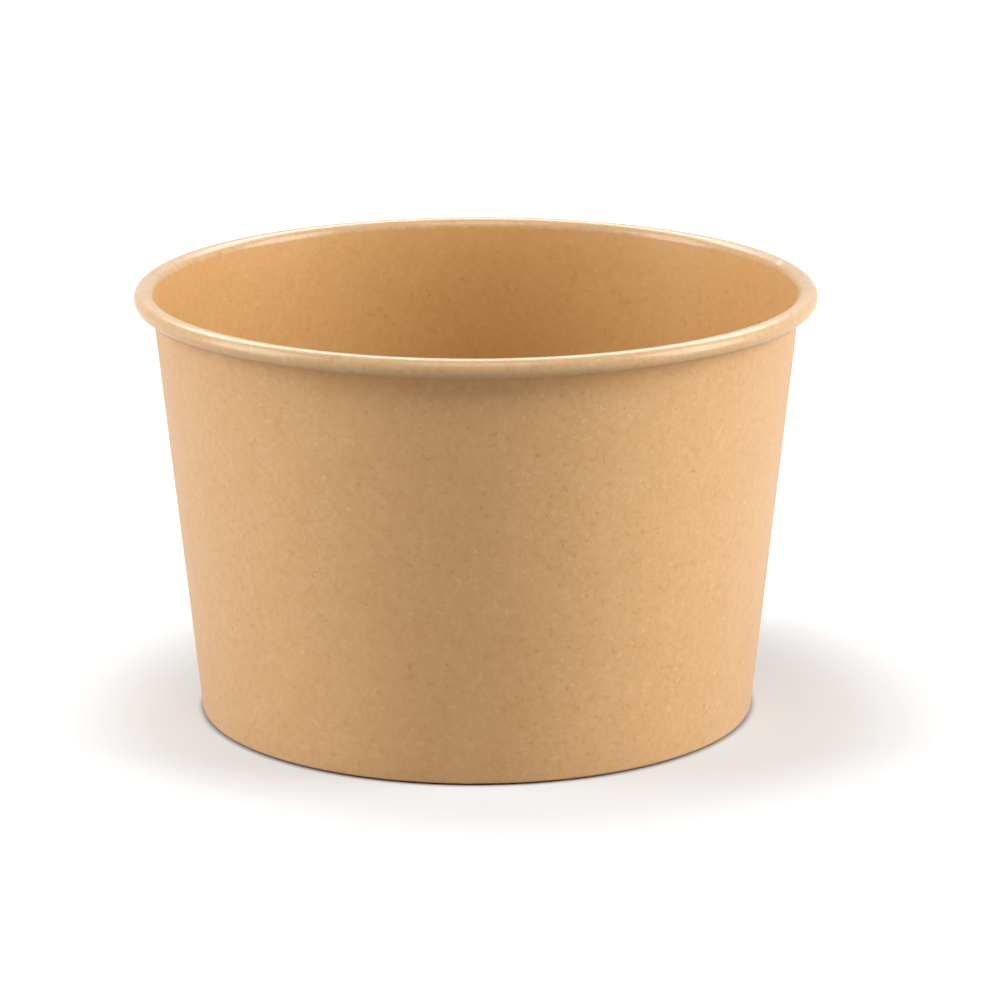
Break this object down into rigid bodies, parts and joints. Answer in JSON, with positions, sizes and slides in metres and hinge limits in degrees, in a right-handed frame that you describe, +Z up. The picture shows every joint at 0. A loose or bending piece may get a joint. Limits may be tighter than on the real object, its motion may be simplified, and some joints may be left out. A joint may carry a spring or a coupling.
{
  "type": "paper soup container",
  "caption": "Round open soup container of kraft paperboard: tapered wall with lapped side seam, rolled rim and folded foot hem, and a recessed base disc.",
  "frame": {"origin": "centre of the foot ring, on the table", "axes": "+Z up along the container's axis and out of its mouth; the side seam is on the +X side, a little towards +Y"},
  "size_m": [0.115, 0.115, 0.073],
  "materials": {
    "wall_board": "uncoated brown kraft board with fine fibres, a thin clear lining inside",
    "base_board": "uncoated brown kraft board, thinner than the wall's"
  },
  "bodies": {
    "root": {"side_wall": "wall_board", "base_disc": "base_board"}
  },
  "joints": []
}
